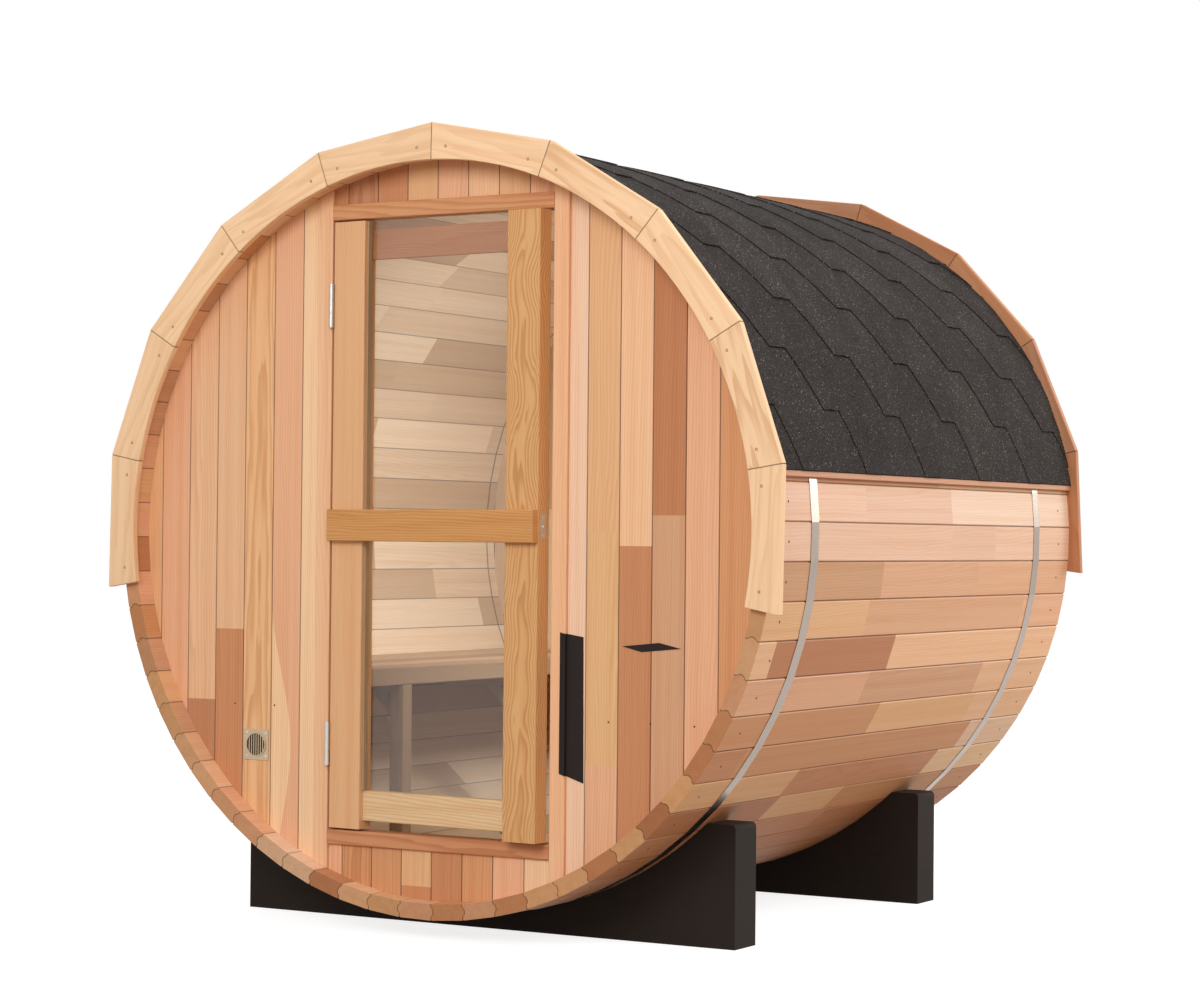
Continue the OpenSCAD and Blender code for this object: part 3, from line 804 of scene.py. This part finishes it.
def shingle_tab(mesh, mirror, course, middle, chance):
    """One hexagonal tab of a course, bent over the roof."""
    heights = [k / TAB_ROWS for k in range(TAB_ROWS + 1)] + TAB_COVERED
    rows = []
    for rows_up in heights:
        angle = ROOF_EDGE + (course + rows_up) * COURSE_STEP
        if angle > math.pi / 2 + 1e-6:
            break
        lift = ROOF_R + TAB_LIFT + (TAB_LAYERS - rows_up) * TAB_T
        half = tab_half_width(rows_up)
        row = []
        for k in range(TAB_COLUMNS + 1):
            y = middle + half * (2 * k / TAB_COLUMNS - 1)
            wear = chance.uniform(-EDGE_WEAR, EDGE_WEAR)
            ragged = wear / ROOF_R if rows_up == 0.0 and course else 0.0
            if k in (0, TAB_COLUMNS) and 0.0 < rows_up < 1.0:
                y += wear
            y = min(max(y, -ROOF_END), ROOF_END)
            row.append(on_barrel(lift, angle + ragged, y))
        rows.append(row)
    sheet(mesh, mirror, rows)


def shingle_side(name, mirror, seed):
    """All the tabs on one side of the ridge."""
    chance = random.Random(seed)
    mesh = bmesh.new()
    starter_strip(mesh, mirror)
    for course in range(COURSE_COUNT):
        phase = TAB_PHASE + (0.0 if course % 2 else TAB_PITCH / 2)
        first = math.floor((-ROOF_END - phase) / TAB_PITCH)
        last = math.ceil((ROOF_END - phase) / TAB_PITCH)
        for k in range(first, last + 1):
            shingle_tab(mesh, mirror, course, phase + k * TAB_PITCH, chance)
    bmesh.ops.dissolve_degenerate(mesh, dist=0.05 * MM, edges=mesh.edges)
    loose = [v for v in mesh.verts if not v.link_faces]
    bmesh.ops.delete(mesh, geom=loose, context="VERTS")
    return thicken(piece(name, mesh, "barrel", FELT), TAB_T, -1.0)


CAP_HALF = math.radians(7.0)
CAP_LEN = 0.25
CAP_STEP = 0.176
CAP_ROWS = 8
# Thicknesses of felt from the roof to a cap's front and back
CAP_FRONT = 5.2
CAP_BACK = 3.8


def ridge_caps():
    """Capping pieces bent over the ridge, each lapped over the one behind it."""
    mesh = bmesh.new()
    count = round(2 * ROOF_END / CAP_STEP)
    for k in range(count):
        front = -ROOF_END + k * CAP_STEP
        back = min(front + CAP_LEN, ROOF_END)
        columns = []
        for y, layers in ((front, CAP_FRONT), (back, CAP_BACK)):
            lift = ROOF_R + TAB_LIFT + layers * TAB_T
            angles = [math.pi / 2 + CAP_HALF * (2 * j / CAP_ROWS - 1) for j in range(CAP_ROWS + 1)]
            columns.append([mesh.verts.new(on_barrel(lift, angle, y)) for angle in angles])
        for j in range(CAP_ROWS):
            mesh.faces.new((columns[0][j], columns[1][j], columns[1][j + 1], columns[0][j + 1]))
    return thicken(piece("ridge_caps", mesh, "barrel", FELT), TAB_T, -1.0)


# Fasteners

SCREW_INSET = math.radians(2.6)
NAIL_Y = 0.805
# Across and up the front wall, in millimetres
WALL_NAILS = [(468, 524), (578, 525), (691, 523), (-478, 528), (-599, 528)]


def trim_screws():
    """Two screws near the ends of each trim board, front and rear."""
    mesh = bmesh.new()
    for turn, rise, y, way in ((FRONT_TURN, 0.0, -TRIM_END, -1), (REAR_TURN, REAR_RISE, TRIM_END, 1)):
        for board in range(TRIM_COUNT):
            start = TRIM_START + turn + board * TRIM_STEP
            for angle in (start + SCREW_INSET, start + TRIM_STEP - SCREW_INSET):
                at = on_barrel(TRIM_R, angle, y) + Vector((0, 0, rise))
                head(mesh, at, Vector((0, way, 0)), SCREW)
    return piece("trim_screws", mesh, "barrel", SCREW_METAL)


def stave_nails():
    """Nails through the uncovered staves into the end walls."""
    mesh = bmesh.new()
    for k in range(STAVE_COUNT):
        angle = STAVE_TURN + (k + 0.5) * STAVE_STEP
        if math.sin(angle) > math.sin(ROOF_EDGE - STAVE_STEP / 4):
            continue
        outward = Vector((math.cos(angle), 0, math.sin(angle)))
        for y in (-NAIL_Y, NAIL_Y):
            head(mesh, on_barrel(STAVE_OUT, angle, y), outward, NAIL)
    return piece("stave_nails", mesh, "barrel", NAIL_METAL)


def wall_nails():
    """A row of small nails across the side boards of the front wall."""
    mesh = bmesh.new()
    for x, z in WALL_NAILS:
        head(mesh, Vector((x * MM, WALL_FRONT, z * MM)), Vector((0, -1, 0)), PIN)
    return piece("wall_nails", mesh, "barrel", NAIL_METAL)


VENT_SCREW_INSET = 9.0 * MM
VENT_PLATE_T = 2.0 * MM


def vent_screws():
    """A screw in each corner of the vent's plate."""
    low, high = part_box("wall_vent")
    plate_front = WALL_FRONT - VENT_PLATE_T
    mesh = bmesh.new()
    for x in (low.x + VENT_SCREW_INSET, high.x - VENT_SCREW_INSET):
        for z in (low.z + VENT_SCREW_INSET, high.z - VENT_SCREW_INSET):
            head(mesh, Vector((x, plate_front, z)), Vector((0, -1, 0)), SCREW)
    return piece("vent_screws", mesh, "barrel", FITTING)


GAUZE_R = 27.2 * MM
GAUZE_T = 0.4 * MM
GAUZE_BEHIND = 3.0 * MM


def vent_gauze():
    """A fine dark screen across the bore behind the vent's slots."""
    low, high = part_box("wall_vent")
    middle = (low + high) / 2
    mesh = bmesh.new()
    at = Vector((middle.x, WALL_FRONT + GAUZE_BEHIND, middle.z))
    head(mesh, at, Vector((0, -1, 0)), [(GAUZE_R, 0.0), (GAUZE_R, GAUZE_T)], sides=32)
    return piece("vent_gauze", mesh, "barrel", GAUZE)


LATCH_SCREW_GAP = 20 * MM


def latch_fittings():
    """The latch plate's ball and its two screws."""
    low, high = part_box("door_latch_plate")
    middle = (low + high) / 2
    # The plate faces away from the hinge, square to the door's edge
    ajar = math.radians(-frame["joints"][0]["range_deg"][0])
    outward = Vector((math.cos(ajar), -math.sin(ajar), 0))
    face = middle + outward * ((high.x - low.x) / 2 - (high.y - low.y) / 2 * math.sin(ajar))
    mesh = bmesh.new()
    head(mesh, face, outward, BALL, sides=18)
    for rise in (-LATCH_SCREW_GAP, LATCH_SCREW_GAP):
        head(mesh, face + Vector((0, 0, rise)), outward, SCREW)
    return piece("latch_fittings", mesh, "door", FITTING)


# Dark plates on the front wall, as corners across and up in millimetres

PLATE_T = 0.8 * MM
STRIP = [(342, 726), (356, 723), (400, 716), (403, 381), (356, 396), (342, 401)]
RHOMBUS = [(503, 698), (553, 686), (655, 696), (599, 708)]


def plate_points(mesh, corners, y):
    """The corners of a plate, at a depth."""
    return [mesh.verts.new((x * MM, y, z * MM)) for x, z in corners]


def finish_plate(name, mesh):
    """Turns the faces of a plate outward and gives it its thickness."""
    bmesh.ops.recalc_face_normals(mesh, faces=mesh.faces)
    return thicken(piece(name, mesh, "barrel", PLATE), PLATE_T, 0.0)


def dark_strip():
    """A thin strip that laps from the jamb's face onto the wall."""
    mesh = bmesh.new()
    on_jamb = plate_points(mesh, [STRIP[0], STRIP[1], STRIP[4], STRIP[5]], JAMB_FRONT - PLATE_T)
    on_wall = plate_points(mesh, STRIP[1:5], WALL_FRONT - PLATE_T)
    mesh.faces.new(on_jamb)
    mesh.faces.new(on_wall)
    mesh.faces.new((on_jamb[1], on_wall[0], on_wall[3], on_jamb[2]))
    return finish_plate("dark_strip", mesh)


def dark_rhombus():
    """A thin flat plate with four slanting sides."""
    mesh = bmesh.new()
    mesh.faces.new(plate_points(mesh, RHOMBUS, WALL_FRONT - PLATE_T))
    return finish_plate("dark_rhombus", mesh)


# Finish of each solid

STAVE_TONES = (PEACH, ROSE, FAWN, PEACH, SALMON, BLUSH, TAN, FAWN, ROSE, SALMON, PEACH, RUST, TAN, ROSE)
INSIDE_TONES = (BEIGE, CHALK, STONE, CHALK, BEIGE, CHALK, STONE)
# Staves from the right edge of the roof down: three pieces from front to rear, and two joints
STAVE_ROWS = [
    (SHELL, SHELL, PEARL, -0.400, 0.095), (SHELL, SHELL, SHELL, 0.095, 0.370),
    (TAWNY, FAWN, BISQUE, -0.300, 0.275), (TAN, BISQUE, ROSE, -0.355, 0.600),
    (PEACH, SIENNA, PEACH, -0.795, -0.165), (ROSE, FAWN, PEACH, -0.250, 0.440),
    (SALMON, GOLD, PEACH, -0.110, 0.480), (RUST, SALMON, BLUSH, -0.720, 0.550),
    (GOLD, RUST, CREAM, -0.355, 0.455), (SIENNA, GOLD, SALMON, -0.340, 0.010),
    # The last four rows take darker woods along their outer faces, which partly paints the shade under the
    # barrel
    (TAN, RUST, SIENNA, -0.872, 0.050), (RUST, SIENNA, UMBER, -0.872, 0.200),
    (TAN, UMBER, SIENNA, -0.872, 0.100), (GOLD, SIENNA, UMBER, -0.872, 0.150),
]
# Usual lengths of the pieces in a stave and in a board of the rear wall
STAVE_PIECE = 0.75
REAR_PIECE = 1.1

# Boards of the front wall, outward from the door's frame, or from left to right
LEFT_BOARDS = [
    whole(CREAM), whole(ROSE), whole(GOLD), split(PEACH, RUST, 0.712),
    split(PEACH, UMBER, 0.536), whole(ROSE), whole(TAN), whole(TAN),
]
RIGHT_BOARDS = [
    whole(BLUSH), (ROSE, STRAW, TAN, 0.423, 0.957), split(PEACH, RUST, 0.926), split(SIENNA, FAWN, 0.996),
    whole(ROSE), whole(SALMON), whole(TAN), whole(TAN),
]
OVER_DOOR_BOARDS = [
    whole(RUST), whole(UMBER), whole(RUST), whole(TAN), whole(ROSE), whole(PEACH), whole(TAN), whole(ROSE),
]
UNDER_DOOR_BOARDS = [
    whole(ROSE), whole(SALMON), whole(SALMON), split(TAN, RUST, 0.115),
    whole(RUST), whole(SALMON), whole(ROSE), whole(CREAM),
]

AXIS_OF = {"x": 0, "y": 1, "z": 2}
# Single bars: the axis they lie along, their colours, and how strongly the rings show
BARS = {
    "door_jamb_left": ("z", (PEACH,), 0.2),
    "door_jamb_right": ("z", (PEACH,), 0.2),
    "door_header": ("x", (SALMON,), 0.6),
    "door_sill": ("x", (RUST,), 0.7),
    "door_stile_left": ("z", (TAN,), 0.25),
    "door_stile_right": ("z", (AMBER,), 0.4),
    # The top rail takes a darker wood than the bottom rail, which partly paints the shade it lies in under
    # the header
    "door_top_rail": ("x", (SIENNA,), 0.5),
    "door_bottom_rail": ("x", (IVORY,), 0.45),
    "door_glass_stops": ("z", (DRAB,), 0.2),
    "door_cross_rail": ("x", (HONEY,), 0.5),
    "roof_batten_right": ("y", (UMBER,), 0.3),
    "roof_batten_left": ("y", (UMBER,), 0.3),
    "bench_fascia": ("y", (DUST,), 0.3),
    "bench_legs": ("z", (DUST,), 0.3),
    "bench_bearers": ("x", (DUST,), 0.3),
    "bench_braces": ("z", (DUST,), 0.3),
    "bench_seat": ("y", (DUST, STONE, DUST), 0.3),
}
FLAT_SAWN_BARS = ("door_stile_right",)
FLAT_SAWN_CUT = {"flat_sawn": (0,), "sway": 0.05, "bends": 5.0}
SLAT_PITCH = 0.1


def finish_nodes():
    """Gives each solid its material."""
    finishes = {}
    stave_pieces = jointed(STAVE_PIECE, STAVE_TONES, INSIDE_TONES, abs(WALL_FRONT), STAVE_ROWS)
    stave_wood = wood("stave_wood", staves, stave_pieces, 1.0, figure=0.2, ends=STAVE_END)
    for node in NODES:
        if node.startswith("staves_"):
            finishes[node] = stave_wood
    left_boards = wall(WALL_LEFT - JAMB_BOARD + BOARD_PITCH, -1.0)
    right_boards = wall(WALL_RIGHT + JAMB_BOARD - BOARD_PITCH)
    door_boards = wall(BOARD_SHIFT - len(OVER_DOOR_BOARDS) / 2 * BOARD_PITCH)
    rear_pieces = jointed(REAR_PIECE, STAVE_TONES, INSIDE_TONES, FARTHEST)
    finishes["front_wall_left"] = wood(
        "left_wall_wood", left_boards, by_board(LEFT_BOARDS), 2.0, flat_sawn=(2,), sap_board=1)
    finishes["front_wall_right"] = wood("right_wall_wood", right_boards, by_board(RIGHT_BOARDS), 3.0)
    finishes["front_wall_over_door"] = wood(
        "over_door_wood", door_boards, by_board(OVER_DOOR_BOARDS), 4.0, flat_sawn=(1,))
    finishes["front_wall_under_door"] = wood(
        "under_door_wood", door_boards, by_board(UNDER_DOOR_BOARDS), 4.5, flat_sawn=(1,))
    finishes["rear_wall"] = wood("rear_wall_wood", wall(BOARD_SHIFT), rear_pieces, 5.0)
    finishes["front_trim"] = wood(
        "front_trim_wood", trim(FRONT_TURN, 0.0), pick(CREAM), 6.0,
        ring=0.0045, figure=0.28, flat_sawn=(1, 3))
    finishes["rear_trim"] = wood(
        "rear_trim_wood", trim(REAR_TURN, REAR_RISE), pick(UMBER, SIENNA, RUST), 7.0)
    for index, (node, (axis, colours, figure)) in enumerate(BARS.items()):
        boards = bar(AXIS_OF[axis], node, SLAT_PITCH if len(colours) > 1 else None)
        cut = FLAT_SAWN_CUT if node in FLAT_SAWN_BARS else {}
        finishes[node] = wood(node + "_wood", boards, pick(*colours), 10.0 + index, figure=figure, **cut)
    for node in ("front_cradle", "rear_cradle"):
        finishes[node] = CRADLE
    for node in ("roof_right", "roof_left"):
        finishes[node] = FELT
    for node in ("front_band", "rear_band"):
        finishes[node] = BAND
    for node in ("door_latch_plate", "hinge_frame_leaves", "hinge_door_leaves"):
        finishes[node] = FITTING
    finishes["wall_vent"] = VENT
    finishes["door_glass"] = GLASS
    for node, material in finishes.items():
        NODES[node].material_slots[0].material = material


# Edges

EASED = {
    "front_trim": 2.5, "rear_trim": 2.5, "front_cradle": 3.0, "rear_cradle": 3.0,
    "door_cross_rail": 1.0, "door_stile_left": 1.0, "door_stile_right": 1.0, "door_top_rail": 1.5,
    "door_bottom_rail": 1.0, "door_glass_stops": 0.8, "door_header": 1.0, "door_sill": 1.0,
    "roof_batten_right": 1.5, "roof_batten_left": 1.5, "bench_seat": 3.0, "bench_fascia": 3.0,
    "bench_legs": 2.0, "bench_bearers": 2.0, "bench_braces": 1.5, "wall_vent": 0.5,
}


def ease_edges():
    """Rounds the sharp edges of solids, by radii in millimetres, for the light to catch."""
    for node, radius in EASED.items():
        thing = NODES[node]
        weld = thing.modifiers.new("weld", "WELD")
        weld.merge_threshold = 0.01 * MM
        bevel = thing.modifiers.new("eased", "BEVEL")
        bevel.width = radius * MM
        bevel.segments = 3
        bevel.limit_method = "ANGLE"
        bevel.angle_limit = math.radians(40)
        bevel.harden_normals = True


# Stage

def light_box(name, at, towards, size, power, reflects=True, spread=180):
    """A soft square lamp, spread in degrees, which shows in polished surfaces unless told not to."""
    lamp = bpy.data.lights.new(name, "AREA")
    lamp.shape = "SQUARE"
    lamp.size = size
    lamp.energy = power
    lamp.spread = math.radians(spread)
    thing = bpy.data.objects.new(name, lamp)
    thing.location = at
    thing.rotation_euler = (Vector(towards) - Vector(at)).to_track_quat("-Z", "Y").to_euler()
    thing.visible_camera = False
    thing.visible_transmission = False
    thing.visible_glossy = reflects
    bpy.context.scene.collection.objects.link(thing)


def seen_directly(nodes, links):
    """1 for rays from the camera, a reflection or a pane, and 0 for soft light."""
    path = nodes.new("ShaderNodeLightPath")
    total = path.outputs["Is Camera Ray"]
    for name in ("Is Glossy Ray", "Is Transmission Ray"):
        either = nodes.new("ShaderNodeMath")
        either.operation = "MAXIMUM"
        links.new(total, either.inputs[0])
        links.new(path.outputs[name], either.inputs[1])
        total = either.outputs[0]
    return total


def make_world():
    """A white studio, seen at full strength but lighting the object less."""
    world = bpy.data.worlds.new("studio")
    bpy.context.scene.world = world
    world.use_nodes = True
    nodes, links = world.node_tree.nodes, world.node_tree.links
    backdrop = nodes["Background"]
    backdrop.inputs["Color"].default_value = (1.0, 1.0, 1.0, 1.0)
    strength = nodes.new("ShaderNodeMapRange")
    strength.inputs["To Min"].default_value = WORLD_LIGHT
    strength.inputs["To Max"].default_value = 1.0
    links.new(seen_directly(nodes, links), strength.inputs["Value"])
    links.new(strength.outputs[0], backdrop.inputs["Strength"])


def make_floor():
    """A pale floor that shows nearly white, with the object's shadow on it."""
    s = Shader("floor")
    seen = seen_directly(s.nodes, s.links)
    s.paint(Base_Color=s.mix(seen, FLOOR_BOUNCE, FLOOR_SEEN), Roughness=0.9, Specular_IOR_Level=0.0)
    glow = s.nodes.new("ShaderNodeEmission")
    glow.inputs["Strength"].default_value = FLOOR_WHITE
    mixed = s.nodes.new("ShaderNodeMixShader")
    share = s.math("MULTIPLY", seen, FLOOR_GLOW)
    s.links.new(share, mixed.inputs[0])
    s.links.new(s.surface.outputs[0], mixed.inputs[1])
    s.links.new(glow.outputs[0], mixed.inputs[2])
    s.links.new(mixed.outputs[0], s.nodes["Material Output"].inputs["Surface"])
    mesh = bmesh.new()
    bmesh.ops.create_grid(mesh, x_segments=1, y_segments=1, size=FLOOR_REACH)
    data = bpy.data.meshes.new("floor")
    mesh.to_mesh(data)
    mesh.free()
    data.materials.append(s.material)
    floor = bpy.data.objects.new("floor", data)
    floor.location.z = -0.5 * MM
    bpy.context.scene.collection.objects.link(floor)


def make_camera():
    """The fitted camera."""
    ahead = Vector((
        -math.sin(CAMERA_YAW) * math.cos(CAMERA_PITCH),
        math.cos(CAMERA_YAW) * math.cos(CAMERA_PITCH),
        math.sin(CAMERA_PITCH),
    ))
    level = Vector((math.cos(CAMERA_YAW), math.sin(CAMERA_YAW), 0))
    upright = level.cross(ahead)
    right = level * math.cos(CAMERA_ROLL) + upright * math.sin(CAMERA_ROLL)
    up = upright * math.cos(CAMERA_ROLL) - level * math.sin(CAMERA_ROLL)
    data = bpy.data.cameras.new("camera")
    data.sensor_width = SENSOR_W
    data.lens = FOCAL_PIXELS / IMAGE_W * SENSOR_W
    data.clip_end = 4 * FLOOR_REACH
    camera = bpy.data.objects.new("camera", data)
    turn = Matrix((right, up, -ahead)).transposed().to_4x4()
    camera.matrix_world = Matrix.Translation(CAMERA_AT) @ turn
    bpy.context.scene.collection.objects.link(camera)
    bpy.context.scene.camera = camera


FELT = shingle_felt()
BAND = brushed_steel("band_steel", tone(160, 144, 132), roughness=0.26, round_barrel=True)
FITTING = brushed_steel("fitting_steel", tone(196, 194, 190))
VENT = brushed_steel("vent_nickel", tone(190, 168, 140), roughness=0.4)
CRADLE = cradle_paint()
PLATE = black_plate()
GAUZE = woven_gauze()
GLASS = clear_glass()
SCREW_METAL = fastener_metal("screw_metal", tone(150, 132, 100), roughness=0.45)
NAIL_METAL = fastener_metal("nail_metal", tone(46, 31, 24), roughness=0.7)

finish_nodes()
ease_edges()
shingle_side("shingle_tabs_right", 1, 11)
shingle_side("shingle_tabs_left", -1, 12)
ridge_caps()
trim_screws()
stave_nails()
wall_nails()
vent_screws()
vent_gauze()
latch_fittings()
dark_strip()
dark_rhombus()

make_camera()
make_world()
make_floor()
light_box("key_light", (1.4, -7.0, 3.8), (0.0, -0.5, 0.9), size=3.0, power=245.0)
light_box("side_light", (5.2, -0.2, 4.6), (0.3, 0.0, 1.1), size=2.6, power=170.0)
light_box("rim_light", (3.9, 5.0, 2.7), (0.6, 0.0, 1.1), size=2.6, power=110.0)
light_box("back_light", (-4.5, 5.0, 4.0), (0.0, 0.0, 1.0), size=3.0, power=100.0)
light_box(
    "room_light", (0.5, -0.1, 1.45), (-0.75, 0.15, 0.85), size=0.6, power=6.6, reflects=False, spread=110)

bpy.context.scene.view_settings.view_transform = "Standard"
